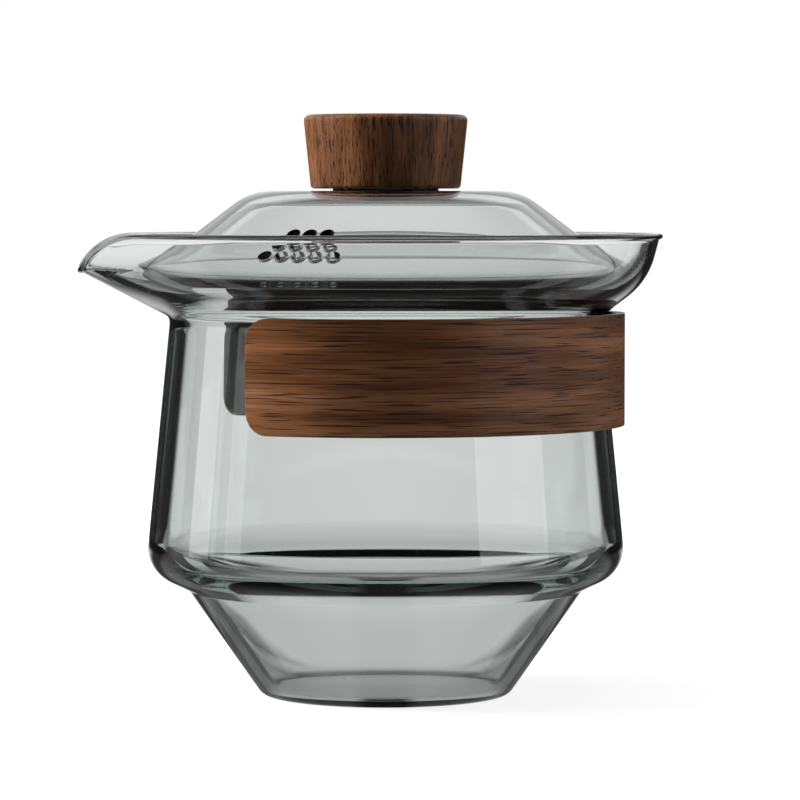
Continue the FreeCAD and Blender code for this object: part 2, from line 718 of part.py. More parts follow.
def make_band():
    """Bent walnut band, its outer edges softened."""
    body, feature = make_open_ring("grip_band", "dims.wood_inside", "dims.band_thickness")
    outside = size("wood_inside") + size("band_thickness")
    names = []
    for index, edge in enumerate(feature.Shape.Edges, start=1):
        first, last = edge.ParameterRange
        points = [edge.valueAt(first + (last - first) * part / 4) for part in range(5)]
        if all(abs(Vector(point.x, point.y, 0).Length - outside) < 0.001 for point in points):
            names.append(f"Edge{index}")
    fillet(body, feature, names, "dims.band_edge_round")
    return body


def make_lining():
    """Thin black lining glued inside the band."""
    return make_open_ring("band_lining", "dims.lining_inside", "dims.lining_thickness")[0]


def write_parts(pieces):
    """Checks every object and writes one file for each piece."""
    doc.recompute()
    for item in doc.Objects:
        faults = [word for word in item.State if word in ("Invalid", "Error")]
        if faults:
            raise RuntimeError(f"{item.Label} is {faults}")
    os.makedirs("parts", exist_ok=True)
    for piece in pieces:
        shape = piece.Shape
        if shape.isNull() or not shape.isValid() or len(shape.Solids) != 1:
            raise RuntimeError(f"{piece.Label} is not one valid solid")
        shape.exportStep(f"parts/{piece.Label}.step")
        print(f"{piece.Label}: volume {shape.Volume:.1f}, faces {len(shape.Faces)}")


write_parts([make_pot(), make_lid(), make_bond(), make_knob(), make_band(), make_lining()])
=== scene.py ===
"""Looks of the handleless glass teapot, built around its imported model. Metres, +Z up, lip along -X."""

from math import acos, atan2, cos, pi, radians, sin, sqrt, tan

import bmesh
import bpy
import numpy as np
from mathutils import Matrix, Vector


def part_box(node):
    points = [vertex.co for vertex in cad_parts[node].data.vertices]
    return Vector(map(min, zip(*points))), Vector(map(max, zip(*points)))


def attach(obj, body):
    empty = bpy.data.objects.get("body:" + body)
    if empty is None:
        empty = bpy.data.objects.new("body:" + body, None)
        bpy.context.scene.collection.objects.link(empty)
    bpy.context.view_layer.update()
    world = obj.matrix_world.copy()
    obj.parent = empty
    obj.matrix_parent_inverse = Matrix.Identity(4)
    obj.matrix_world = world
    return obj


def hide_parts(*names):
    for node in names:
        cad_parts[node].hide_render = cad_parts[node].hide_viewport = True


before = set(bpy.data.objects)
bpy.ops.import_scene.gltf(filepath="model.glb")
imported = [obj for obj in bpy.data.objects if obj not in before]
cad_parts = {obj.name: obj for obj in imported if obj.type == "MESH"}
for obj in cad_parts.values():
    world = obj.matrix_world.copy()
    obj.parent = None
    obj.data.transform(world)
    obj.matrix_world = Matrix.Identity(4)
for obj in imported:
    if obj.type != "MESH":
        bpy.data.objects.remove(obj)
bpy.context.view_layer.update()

MM = 0.001

# Foot and body. CONE and TAPER are directions up the outside, from the horizontal
WALL = 2.2 * MM
FLOOR_THICKNESS = 1.6 * MM
SHELF_THICKENING = 0.15
BASE_RADIUS = 21.06 * MM
BASE_ROUND = 2.0 * MM
CONE = radians(90 - 35.0)
CREASE_HEIGHT = 18.0 * MM
CREASE_ROUND = 0.6 * MM
INNER_CREASE_ROUND = 1.5 * MM
BULGE_HEIGHT = 21.5 * MM
BULGE_ROUND = 6.0 * MM
INSIDE_ROUND = 2.0 * MM
TAPER = radians(90 + 5.65)

# Neck and bowl
NECK_RADIUS = 36.63 * MM
NECK_HEIGHT = 64.3 * MM
NECK_ROUND = 2.0 * MM
INNER_NECK_ROUND = 6.0 * MM
JOINT_BELOW = 3.0 * MM
BOWL_ROUND = 12.7 * MM
RIM_RADIUS = 46.7 * MM
RIM_WALL = 1.05 * MM
RIM_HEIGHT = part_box("glass_pot")[1].z
THINNING_HEIGHT = 8.9 * MM
FLARE_RUN = 0.7845
FLARE_RISE = 0.43
PAST_RIM = 20.0 * MM

# Pouring lip
LIP_REACH = RIM_RADIUS + 5.3 * MM
LIP_HEIGHT = RIM_HEIGHT - 6.2 * MM
LIP_TURN = 4.0 * MM
LIP_ROUND = 9.0 * MM
LIP_NARROWING = 0.35
DIP_RADIUS = 10.7 * MM
DIP_START = RIM_RADIUS - 4.1 * MM

# Fire-polished rim. The inner guides are shares of the bead's radius, across from the inner edge and down
BEAD_OUT = 0.35 * MM
BEAD_ROUND = 0.5 * MM
BEAD_START = 2.4 * BEAD_ROUND
BEAD_END = 1.6 * BEAD_ROUND
BEAD_ANGLES = (-40, 0, 45, 90)
BEAD_INNER_GUIDES = ((0.9, 0.08), (0.22, 0.45))

# Lid
LID_WALL = 1.6 * MM
LID_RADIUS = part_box("glass_lid")[1].x
LID_SLOPE = radians(37.0)
LID_SHOULDER = LID_RADIUS - 18.85 * MM
SHOULDER_ROUND = 10.0 * MM
LID_EDGE_ROUND = 0.75 * MM
BOSS_RADIUS = 9.0 * MM
BOSS_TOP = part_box("lid_knob")[0].z
BOSS_ROUND = 0.15 * MM
LID_TOP = BOSS_TOP - 0.4 * MM
STUB_RADIUS = 4.5 * MM
STUB_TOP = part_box("glass_lid")[1].z
STUB_FOOT_ROUND = 0.2 * MM
STUB_TOP_ROUND = 0.3 * MM

# Strainer. A face belongs to a hole's wall when it is near the hole's axis and hardly faces along it
HOLE_RADIUS = 1.2 * MM
HOLE_PITCH = 3.0 * MM
HOLE_SIDES = 40
HOLE_REACH = 1.02 * HOLE_RADIUS
HOLE_FACING = 0.3
DRILL_LENGTH = 6 * LID_WALL
STRAINER_RADIUS = LID_RADIUS - 7.15 * MM
STRAINER_ANGLE = radians(180 + 62.0)
STRAINER_ROWS = (3, 4, 5)

# Knob
KNOB_BOTTOM_RADIUS = 12.7 * MM
KNOB_TOP_RADIUS = 14.0 * MM
KNOB_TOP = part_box("lid_knob")[1].z
KNOB_TOP_ROUND = 1.0 * MM
KNOB_BOTTOM_ROUND = 0.7 * MM
KNOB_BORE = 5.2 * MM
KNOB_BORE_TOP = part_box("knob_bond")[1].z + 0.05 * MM
KNOB_BORE_ROUND = 0.1 * MM
KNOB_MOUTH_ROUND = 0.2 * MM

# Band and lining
BAND_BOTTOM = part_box("grip_band")[0].z
BAND_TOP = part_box("grip_band")[1].z
BAND_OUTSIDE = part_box("grip_band")[1].x
BAND_THICKNESS = 1.55 * MM
BAND_GAP = radians(48.5)
BAND_TURNED = radians(1.9)
BAND_CORNER = 4.0 * MM
BAND_EDGE_ROUND = 0.35 * MM
LINING_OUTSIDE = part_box("band_lining")[1].x
LINING_THICKNESS = 0.4 * MM
LINING_EDGE_ROUND = 0.05 * MM
SHARP_EDGE = radians(50)

# Meshing: steps along the round and the straight stretches of an outline, and numbers of rows and columns
POT_STEPS = (0.5 * MM, 3.0 * MM)
BOWL_STEPS = (0.25 * MM, 0.2 * MM)
LID_STEPS = (0.35 * MM, 1.5 * MM)
KNOB_STEPS = (0.2 * MM, 1.0 * MM)
LEAST_ARC_STEPS = 4
BOWL_ROWS = 36
RIM_ROWS = 4
BAND_ROWS = 12
BAND_COLUMNS = 200
CORNER_COLUMNS = 8
BEVEL_SEGMENTS = 3

# Angles of the columns: every degree near the lip and every second degree elsewhere
POT_COLUMNS = np.radians(np.concatenate([np.arange(-45.0, 46.0), np.arange(47.0, 315.0, 2.0)]))
LID_COLUMNS = np.radians(np.arange(0, 360, 2.0))

# Glass: its smoke, a painted shade that darkens it to a near black outline where it is seen edge on, and the
# waviness of its surface
GLASS_IOR = 1.47
SMOKE = (0.06, 0.18, 0.134, 1)
SMOKE_DENSITY = 100.0
PAINTED_OUTLINE_SHADE_STOPS = [(0.73, (1, 1, 1, 1)), (0.77, (0.004, 0.004, 0.004, 1))]
GLASS_WAVES = 45.0
GLASS_WAVINESS = 0.006
GLASS_RELIEF = 1.0 * MM

# Painted shade on the rim and the lid's edge: its mark, its colour, the rim's rows left out of it on each
# side, its width on the lid
PAINTED_SHADE_MARK = "painted_edge_shade"
EDGE_SHADE = (0.2, 0.2, 0.2, 1)
RIM_MARGIN = 5
LID_EDGE_WIDTH = 0.7 * MM

# Walnut: waves per metre along and across the grain, the colours that they run through, and how deep they go
FIGURE_WAVES = (18.0, 260.0, 260.0)
FIGURE_STOPS = [
    (0.30, (0.036, 0.013, 0.005, 1)),
    (0.48, (0.085, 0.033, 0.012, 1)),
    (0.62, (0.130, 0.056, 0.025, 1)),
    (0.78, (0.175, 0.083, 0.042, 1)),
]
FIBRE_WAVES = (60.0, 2600.0, 2600.0)
FIBRE_STOPS = [(0.30, (0.55, 0.52, 0.50, 1)), (0.70, (1.0, 1.0, 1.0, 1))]
FIBRE_DEPTH = 0.8
PORE_WAVES = (100.0, 3600.0, 3600.0)
PORE_STOPS = [(0.36, (0.14, 0.12, 0.11, 1)), (0.43, (1.0, 1.0, 1.0, 1))]
PORE_DEPTH = 0.9
PORE_ROUGHNESS = 0.55
WOOD_ROUGHNESS = 0.3
WOOD_SHINE = 0.16
WOOD_RELIEF = 0.12 * MM

# Cut ends of the band: their stain, and how squarely a face looks along the bend where it starts and is full
END_STAIN = (0.006, 0.006, 0.006, 1)
END_STARTS = 0.6
END_FULL = 0.85

# Lining and adhesive: the two colours that each is mottled between, in waves per metre
LINING_COLOURS = ((0.004, 0.004, 0.004), (0.008, 0.008, 0.008))
LINING_WAVES = 900.0
ADHESIVE_COLOURS = ((0.62, 0.6, 0.55), (0.75, 0.74, 0.7))
ADHESIVE_WAVES = 300.0
PLAIN_RELIEF = 0.05 * MM

# Camera, from the photograph: level of the eye, distance and the middle of the picture
VIEW_TURN = radians(-5.5)
EYE_DISTANCE = 0.677
EYE_HEIGHT = 84.5 * MM
LOOK_RIGHT = 2.43 * MM
LOOK_HEIGHT = 50.1 * MM
LENS = 179.1
SENSOR = 36.0

# Softboxes: name, degrees to the right of the camera, width, height, level, radiance, whether it is mirrored
LAMP_DISTANCE = 1.0
LAMP_AIM = 50.0 * MM
SOFTBOXES = [
    ("left_softbox_back", -100.0, 0.28, 1.2, 0.35, 2.2, True),
    ("left_softbox_edge", -90.0, 0.06, 1.2, 0.35, 1.0, True),
    ("left_softbox_front", -77.3, 0.185, 1.2, 0.35, 1.6, True),
    ("right_softbox", 64.0, 0.75, 1.2, 0.35, 2.2, True),
    ("left_key", -93.0, 0.4, 1.0, 0.5, 48.0, False),
    ("right_key", 96.0, 0.4, 1.0, 0.5, 9.0, False),
]


def turns(*stops):
    """Stops placed by degrees to either side of the view, as shares of a half turn."""
    return [(angle / 180, level) for angle, level in stops]


def climbs(*stops):
    """Stops placed by degrees above the horizon, as shares of a right angle."""
    return [(angle / 90, level) for angle, level in stops]


# Surround as glass refracts it: dark cards that end a little above the horizon, and a dark ceiling
CARD_STOPS = turns((21, 1.0), (23, 0.12), (27, 0.12), (29, 0.03), (42, 0.03), (44, 1.0),
                   (56, 1.0), (58, 0.03), (78, 0.03), (80, 1.0), (93, 1.0), (95, 0.03))
CARD_TOP = climbs((5, 0.0), (11, 1.0))
CEILING = climbs((28, 1.0), (42, 0.04))

# Surround as glass and polished wood mirror it
GLOSS_STOPS = turns((6, 1.0), (12, 0.03), (48, 0.03), (60, 0.5), (80, 0.5), (92, 0.08), (180, 0.03))
GLOSS_BACK = turns((60, 1.0), (80, 0.0))
GLOSS_CEILING = climbs((22, 0.0), (40, 0.9), (90, 0.9))

# Floor in the glass, with a painted shadow under and around the foot: by distance from the axis in metres,
# and by turn. The cards stand beyond CARDS_FROM
PAINTED_FLOOR_SHADOW_STOPS = [(0.015, 0.35), (0.018, 0.08), (0.02, 0.15), (0.024, 0.26), (0.028, 0.48),
               (0.032, 0.61), (0.039, 0.75), (0.045, 0.8), (0.1, 0.82), (0.3, 1.0)]
FLOOR_BACK = turns((34, 1.0), (50, 0.3))
FLOOR_SIDES = turns((44, 0.0), (52, 0.22), (105, 0.22), (120, 0.5), (163, 0.5), (172, 0.02))
CLOSE_STOPS = [(0.034, 1.0), (0.05, 0.0)]
CARDS_FROM = [(0.25, 1.0), (0.4, 0.0)]
NEAR_STOPS = turns((24, 1.0), (36, 0.1))

# Floor to the eye: a glow that leaves room for a shadow near the pot, and the matt white that takes it
FLOOR_SIZE = 20.0
FLOOR_GAP = 0.05 * MM
FLOOR_GLOW = [(0.03, 0.8), (0.1, 1.0)]
FLOOR_MATT = 0.2

# Light that falls on things from the surround and the floor
LIGHT_LEVEL = 0.05
FLOOR_BOUNCE = (0.35, 0.35, 0.35, 1)
WHITE = (1, 1, 1, 1)


def moved(point, angle, distance):
    """A (radius, height) point moved in the direction of an angle."""
    return point[0] + distance * cos(angle), point[1] + distance * sin(angle)


def crossing(point_a, angle_a, point_b, angle_b):
    """Crossing of two lines, each given by a point and an angle."""
    step_r = point_b[0] - point_a[0]
    step_z = point_b[1] - point_a[1]
    along = (step_r * sin(angle_b) - step_z * cos(angle_b)) / sin(angle_b - angle_a)
    return moved(point_a, angle_a, along)


def between(start, end, share_out, share_up):
    """Point at a share of the way out and a share of the way up from one point to another."""
    return start[0] + (end[0] - start[0]) * share_out, start[1] + (end[1] - start[1]) * share_up


def heading(start, end):
    """Angle of the line from one point to another."""
    return atan2(end[1] - start[1], end[0] - start[0])


def arc(centre, radius, first, last, steps):
    """Points along a round stretch, by the angle from its centre."""
    angles = np.linspace(first, last, steps + 1)
    return [moved(centre, angle, radius) for angle in angles]


def rounded(corners, step):
    """Points along an open outline of (radius, height, rounding) corners, at about even steps on the arcs."""
    points = [corners[0][:2]]
    for before, corner, after in zip(corners, corners[1:], corners[2:]):
        angle_in = heading(before, corner)
        turn = (heading(corner, after) - angle_in + pi) % (2 * pi) - pi
        rounding = corner[2]
        if rounding == 0:
            points.append(corner[:2])
            continue
        side = pi / 2 if turn > 0 else -pi / 2
        start = moved(corner, angle_in, -rounding * tan(abs(turn) / 2))
        centre = moved(start, angle_in + side, rounding)
        first = angle_in - side
        steps = max(LEAST_ARC_STEPS, int(rounding * abs(turn) / step) + 1)
        points += arc(centre, rounding, first, first + turn, steps)
    points.append(corners[-1][:2])
    return points


def filled(points, step):
    """The same outline with points added on long straight stretches."""
    result = [points[0]]
    for start, end in zip(points, points[1:]):
        count = max(1, int(np.hypot(end[0] - start[0], end[1] - start[1]) / step))
        for part in range(1, count + 1):
            share = part / count
            result.append(between(start, end, share, share))
    return result


def drawn(corners, round_step, straight_step):
    """Outline of (radius, height, rounding) corners as points, by the steps on its two kinds of stretch."""
    return filled(rounded(corners, round_step), straight_step)


def new_object(name, vertices, faces, material):
    """Smooth-shaded mesh object in the scene."""
    mesh = bpy.data.meshes.new(name)
    mesh.from_pydata(vertices, [], faces)
    mesh.shade_smooth()
    mesh.materials.append(material)
    piece = bpy.data.objects.new(name, mesh)
    bpy.context.scene.collection.objects.link(piece)
    return piece


def round_mesh(name, columns, angles, material):
    """Closed mesh of upright half-outlines round the axis. Each starts and ends on the axis."""
    count = len(columns)
    rows = len(columns[0]) - 2
    vertices = [(0.0, 0.0, columns[0][0][1])]
    for column, angle in zip(columns, angles):
        for radius, height in column[1:-1]:
            vertices.append((radius * cos(angle), radius * sin(angle), height))
    vertices.append((0.0, 0.0, columns[0][-1][1]))
    last = len(vertices) - 1
    faces = []
    for index in range(count):
        here = 1 + index * rows
        there = 1 + (index + 1) % count * rows
        faces.append((0, there, here))
        for row in range(rows - 1):
            faces.append((here + row, there + row, there + row + 1, here + row + 1))
        faces.append((here + rows - 1, there + rows - 1, last))
    return new_object(name, vertices, faces, material)


# Corners and directions of the pot's outside
neck_corner = (NECK_RADIUS, NECK_HEIGHT)
rim_corner = (RIM_RADIUS, RIM_HEIGHT)
base_corner = (BASE_RADIUS, 0.0)
crease_corner = crossing(base_corner, CONE, (0.0, CREASE_HEIGHT), 0.0)
bulge_corner = crossing(neck_corner, TAPER, (0.0, BULGE_HEIGHT), 0.0)
bowl_corner = between(neck_corner, rim_corner, FLARE_RUN, FLARE_RISE)
bowl_lean = heading(bowl_corner, rim_corner)
lip_slope = heading(neck_corner, (LIP_REACH, LIP_HEIGHT))
lip_centre = moved((LIP_REACH, LIP_HEIGHT), lip_slope + pi / 2, LIP_TURN)
joint = moved(neck_corner, TAPER, -JOINT_BELOW)


def wall_at(height):
    """Wall of the bowl at a height: it thins evenly from the neck to the rim."""
    share = (height - NECK_HEIGHT) / THINNING_HEIGHT
    return WALL + (RIM_WALL - WALL) * min(max(share, 0.0), 1.0)


def inner_line(start, end):
    """Start and direction of the inner skin behind a straight stretch of the bowl's outer skin."""
    square = heading(start, end) + pi / 2
    first = moved(start, square, wall_at(start[1]))
    return first, heading(first, moved(end, square, wall_at(end[1])))


def bowl_path(inside):
    """Points up the bowl's outer or inner skin away from the lip, from below the neck to above the rim."""
    if inside:
        body, body_angle = inner_line(joint, neck_corner)
        flare, flare_angle = inner_line(neck_corner, bowl_corner)
        side, side_angle = inner_line(bowl_corner, rim_corner)
        corners = [
            (*body, 0),
            (*crossing(body, body_angle, flare, flare_angle), INNER_NECK_ROUND),
            (*crossing(flare, flare_angle, side, side_angle), BOWL_ROUND - wall_at(bowl_corner[1])),
            (*moved(side, side_angle, PAST_RIM), 0),
        ]
    else:
        corners = [
            (*joint, 0),
            (*neck_corner, NECK_ROUND),
            (*bowl_corner, BOWL_ROUND),
            (*moved(bowl_corner, bowl_lean, PAST_RIM), 0),
        ]
    return drawn(corners, *BOWL_STEPS)


def lip_reach_at(height, inset):
    """Distance of the lip's underside from the axis, which climbs straight and then turns upright."""
    turn = LIP_TURN - inset
    below = lip_centre[1] - height
    if below <= 0:
        return lip_centre[0] + turn
    if below < turn * cos(lip_slope):
        return lip_centre[0] + sqrt(turn ** 2 - below ** 2)
    return lip_centre[0] + (turn / cos(lip_slope) - below) / tan(lip_slope)


def lip_radius(angle, round_radius, height, inset):
    """Distance from the axis to a level outline: a circle and a smaller tip circle joined by tangents."""
    reach = lip_reach_at(height, inset)
    tip_round = LIP_ROUND - (RIM_HEIGHT - height) * LIP_NARROWING - inset
    if reach <= round_radius:
        return round_radius
    middle = reach - tip_round
    leave = acos((round_radius - tip_round) / middle)
    arrive = atan2(tip_round * sin(leave), middle + tip_round * cos(leave))
    angle = abs(angle)
    if angle >= leave:
        return round_radius
    if angle >= arrive:
        return round_radius / cos(leave - angle)
    return middle * cos(angle) + sqrt(tip_round ** 2 - (middle * sin(angle)) ** 2)


def edge_height(distance):
    """Height of the rim at a distance from the axis towards the lip, where it dips."""
    beyond = min(max(0.0, distance - DIP_START), DIP_RADIUS)
    return RIM_HEIGHT - DIP_RADIUS + sqrt(DIP_RADIUS ** 2 - beyond ** 2)


def bowl_column(path, angle, inside):
    """Skin at one angle from the lip, up to the cut of the rim: points of (radius, height)."""
    turned = (angle + pi) % (2 * pi) - pi
    wall = []
    for radius, height in path:
        inset = wall_at(height) if inside else 0.0
        wall.append((lip_radius(turned, radius, height, inset), height))
    wall = np.array(wall)
    spare = np.array([height - edge_height(radius * cos(turned)) for radius, height in wall])
    above = int(np.argmax(spare > 0))
    share = spare[above - 1] / (spare[above - 1] - spare[above])
    top = wall[above - 1] + (wall[above] - wall[above - 1]) * share
    return np.vstack([wall[:above], top])


def lengths_along(points):
    """Distance of each point from the start of its outline."""
    return np.concatenate([[0], np.cumsum(np.hypot(*np.diff(points, axis=0).T))])


def resampled(points, count):
    """The same open outline with a given number of even steps."""
    along = lengths_along(points)
    places = np.linspace(0, along[-1], count + 1)
    return np.column_stack([np.interp(places, along, points[:, axis]) for axis in (0, 1)])


def cut_back(points, distance):
    """An outline less a distance at its end."""
    along = lengths_along(points)
    length = along[-1] - distance
    end = [np.interp(length, along, points[:, axis]) for axis in (0, 1)]
    return np.vstack([points[along < length], end])


def smooth_run(points, steps):
    """Smooth open curve through points, with even steps between each pair."""
    guides = [2 * points[0] - points[1]] + points + [2 * points[-1] - points[-2]]
    run = [points[0]]
    for p0, p1, p2, p3 in zip(guides, guides[1:], guides[2:], guides[3:]):
        for part in range(1, steps + 1):
            t = part / steps
            bend = (2 * p0 - 5 * p1 + 4 * p2 - p3) * t ** 2 + (3 * p1 - p0 - 3 * p2 + p3) * t ** 3
            run.append((2 * p1 + (p2 - p0) * t + bend) / 2)
    return run


def rim_run(outer, inner):
    """Fire-polished edge between the tops of the two walls, with a small bead turned outwards."""
    outer_top = outer[-1]
    inner_top = inner[-1]
    across = (outer_top - inner_top) / np.linalg.norm(outer_top - inner_top)
    upward = np.array([-across[1], across[0]])
    bead_centre = outer_top + (BEAD_OUT - BEAD_ROUND) * across - BEAD_ROUND * upward
    guides = [cut_back(outer, BEAD_START)[-1]]
    for angle in BEAD_ANGLES:
        direction = cos(radians(angle)) * across + sin(radians(angle)) * upward
        guides.append(bead_centre + BEAD_ROUND * direction)
    for out, down in BEAD_INNER_GUIDES:
        guides.append(inner_top + out * BEAD_ROUND * across - down * BEAD_ROUND * upward)
    guides.append(cut_back(inner, BEAD_END)[-1])
    return smooth_run(guides, RIM_ROWS)


def mark_painted_shade(mesh, shares):
    """Keeps on each vertex how far it belongs to the rim or the lid's edge, where the glass gets a painted
    shade.
    """
    edge = mesh.attributes.new(PAINTED_SHADE_MARK, "FLOAT", "POINT")
    edge.data.foreach_set("value", shares)


def body_outline():
    """The pot's outside from the middle of its foot up to the joint with the bowl."""
    return drawn([
        (0.0, 0.0, 0),
        (*base_corner, BASE_ROUND),
        (*crease_corner, CREASE_ROUND),
        (*bulge_corner, BULGE_ROUND),
        (*joint, 0),
    ], *POT_STEPS)


def body_inline():
    """The pot's inside from the joint with the bowl down to the middle of its floor."""
    inner_joint = moved(joint, TAPER + pi / 2, WALL)
    shelf = heading(crease_corner, bulge_corner)
    shelf_wall = WALL + SHELF_THICKENING * (bulge_corner[0] - crease_corner[0])
    shelf_line = moved(bulge_corner, shelf + pi / 2, shelf_wall)
    cone_line = moved(base_corner, CONE + pi / 2, WALL)
    return drawn([
        (*inner_joint, 0),
        (*crossing(inner_joint, TAPER, shelf_line, shelf), BULGE_ROUND - WALL),
        (*crossing(cone_line, CONE, shelf_line, shelf), INNER_CREASE_ROUND),
        (*crossing(cone_line, CONE, (0.0, FLOOR_THICKNESS), 0.0), INSIDE_ROUND),
        (0.0, FLOOR_THICKNESS, 0),
    ], *POT_STEPS)


def make_pot(material):
    """Blown pot: turned foot and body, flared bowl, drawn lip and beaded rim."""
    below = body_outline()
    inside = body_inline()
    outer_path = bowl_path(inside=False)
    inner_path = bowl_path(inside=True)
    columns = []
    for angle in POT_COLUMNS:
        outer = bowl_column(outer_path, angle, inside=False)
        inner = bowl_column(inner_path, angle, inside=True)
        up = resampled(cut_back(outer, BEAD_START), BOWL_ROWS)
        down = resampled(cut_back(inner, BEAD_END), BOWL_ROWS)[::-1]
        outside = below[:-1] + list(up[:-1])
        rim = rim_run(outer, inner)
        columns.append(outside + rim + list(down[1:-1]) + inside)
    piece = round_mesh("teapot_glass", columns, POT_COLUMNS + pi, material)
    # The mesh keeps the first and last points of the outline apart from its rows
    rim_start = len(outside) - 1
    # Painted shade on the rim's rows, less a margin on each side
    on_rim = np.zeros((len(columns), len(columns[0]) - 2))
    on_rim[:, rim_start + RIM_MARGIN:rim_start + len(rim) - RIM_MARGIN] = 1.0
    mark_painted_shade(piece.data, [0.0, *on_rim.ravel(), 0.0])
    return piece


def lid_outline():
    """Half-outline of the lid, from the middle of its underside round to the top of its stub."""
    edge = LID_RADIUS + LID_EDGE_ROUND * (sin(LID_SLOPE) + cos(LID_SLOPE) - 1)
    low = LID_TOP - (edge - LID_SHOULDER) * tan(LID_SLOPE)
    return drawn([
        (0.0, LID_TOP - LID_WALL, 0),
        (LID_SHOULDER - LID_WALL * tan(LID_SLOPE / 2), LID_TOP - LID_WALL, SHOULDER_ROUND - LID_WALL),
        (edge - LID_WALL * sin(LID_SLOPE), low - LID_WALL * cos(LID_SLOPE), LID_EDGE_ROUND),
        (edge, low, LID_EDGE_ROUND),
        (LID_SHOULDER, LID_TOP, SHOULDER_ROUND),
        (BOSS_RADIUS, LID_TOP, BOSS_ROUND),
        (BOSS_RADIUS, BOSS_TOP, BOSS_ROUND),
        (STUB_RADIUS, BOSS_TOP, STUB_FOOT_ROUND),
        (STUB_RADIUS, STUB_TOP, STUB_TOP_ROUND),
        (0.0, STUB_TOP, 0),
    ], *LID_STEPS)


def strainer_axes():
    """Middle and direction of each strainer hole, square to the lid's slope."""
    axes = []
    for row, count in enumerate(STRAINER_ROWS):
        row_radius = STRAINER_RADIUS + (row - 1) * HOLE_PITCH * cos(LID_SLOPE)
        height = LID_TOP - (row_radius - LID_SHOULDER) * tan(LID_SLOPE)
        for place in range(count):
            turn = STRAINER_ANGLE + (place - (count - 1) / 2) * HOLE_PITCH / row_radius
            outward = Vector((cos(turn), sin(turn), 0))
            square = outward * sin(LID_SLOPE) + Vector((0, 0, cos(LID_SLOPE)))
            axes.append((outward * row_radius + Vector((0, 0, height)), square))
    return axes


def drill_mesh(axes):
    """All the strainer's drills in one mesh."""
    builder = bmesh.new()
    for middle, square in axes:
        place = Matrix.Translation(middle) @ square.to_track_quat("Z", "Y").to_matrix().to_4x4()
        bmesh.ops.create_cone(builder, cap_ends=True, segments=HOLE_SIDES, radius1=HOLE_RADIUS,
                              radius2=HOLE_RADIUS, depth=DRILL_LENGTH, matrix=place)
    mesh = bpy.data.meshes.new("drills")
    builder.to_mesh(mesh)
    builder.free()
    return bpy.data.objects.new("drills", mesh)


def profile_normals(outline, points):
    """Outward normals of a turned surface at points near it."""
    outline = np.asarray(outline)
    starts = outline[:-1]
    steps = outline[1:] - starts
    radii = np.hypot(points[:, 0], points[:, 1])
    flat = np.column_stack([radii, points[:, 2]])
    gap = flat[:, None, :] - starts[None]
    share = np.clip((gap * steps[None]).sum(2) / (steps ** 2).sum(1)[None], 0, 1)
    miss = ((gap - share[..., None] * steps[None]) ** 2).sum(2)
    nearest = miss.argmin(1)
    lines = np.column_stack([steps[:, 1], -steps[:, 0]]) / np.hypot(*steps.T)[:, None]
    joints = np.vstack([lines[:1], lines[1:] + lines[:-1], lines[-1:]])
    joints /= np.hypot(*joints.T)[:, None]
    part = share[np.arange(len(flat)), nearest][:, None]
    normal = joints[nearest] * (1 - part) + joints[nearest + 1] * part
    outward = points[:, :2] / np.maximum(radii, 1e-9)[:, None]
    full = np.column_stack([outward * normal[:, :1], normal[:, 1:]])
    return full / np.linalg.norm(full, axis=1)[:, None]


def set_lid_normals(mesh, outline, axes):
    """Gives the drilled lid the exact normals of its turned surface and of its round holes."""
    points = np.zeros(len(mesh.vertices) * 3)
    mesh.vertices.foreach_get("co", points)
    points = points.reshape(-1, 3)
    surface = profile_normals(outline, points)
    middles = np.array([middle for middle, _ in axes])
    squares = np.array([square for _, square in axes])
    normals = np.zeros((len(mesh.loops), 3))
    for face in mesh.polygons:
        gap = np.array(face.center) - middles
        across = gap - (gap * squares).sum(1)[:, None] * squares
        nearest = int((across ** 2).sum(1).argmin())
        in_hole = (across[nearest] ** 2).sum() < HOLE_REACH ** 2
        wall = in_hole and abs(np.dot(face.normal, squares[nearest])) < HOLE_FACING
        for loop in face.loop_indices:
            vertex = mesh.loops[loop].vertex_index
            if wall:
                gap_here = points[vertex] - middles[nearest]
                toward = -(gap_here - np.dot(gap_here, squares[nearest]) * squares[nearest])
                normals[loop] = toward / np.linalg.norm(toward)
            else:
                normals[loop] = surface[vertex]
    mesh.normals_split_custom_set(normals.tolist())


def make_lid(material):
    """Domed glass lid with its strainer holes drilled through the slope."""
    outline = lid_outline()
    piece = round_mesh("lid_glass", [outline] * len(LID_COLUMNS), LID_COLUMNS, material)
    axes = strainer_axes()
    drills = drill_mesh(axes)
    bpy.context.scene.collection.objects.link(drills)
    boolean = piece.modifiers.new("strainer", "BOOLEAN")
    boolean.operation = "DIFFERENCE"
    boolean.solver = "EXACT"
    boolean.object = drills
    graph = bpy.context.evaluated_depsgraph_get()
    mesh = bpy.data.meshes.new_from_object(piece.evaluated_get(graph))
    piece.modifiers.clear()
    piece.data = mesh
    bpy.data.objects.remove(drills)
    mesh.shade_smooth()
    set_lid_normals(mesh, outline, axes)
    # Painted shade on the lid's outer edge
    edge_start = LID_RADIUS - LID_EDGE_WIDTH
    mark_painted_shade(mesh, [1.0 if vertex.co.xy.length > edge_start else 0.0 for vertex in mesh.vertices])
    return piece


def make_knob(material):
    """Turned walnut knob with a blind bore."""
    outline = drawn([
        (0.0, KNOB_BORE_TOP, 0),
        (KNOB_BORE, KNOB_BORE_TOP, KNOB_BORE_ROUND),
        (KNOB_BORE, BOSS_TOP, KNOB_MOUTH_ROUND),
        (KNOB_BOTTOM_RADIUS, BOSS_TOP, KNOB_BOTTOM_ROUND),
        (KNOB_TOP_RADIUS, KNOB_TOP, KNOB_TOP_ROUND),
        (0.0, KNOB_TOP, 0),
    ], *KNOB_STEPS)
    return round_mesh("knob_walnut", [outline] * len(LID_COLUMNS), LID_COLUMNS, material)


def end_drop(distance):
    """How far the band's upper and lower edges are drawn in near its ends."""
    beyond = max(0.0, BAND_CORNER - distance)
    return BAND_CORNER - sqrt(BAND_CORNER ** 2 - beyond ** 2)


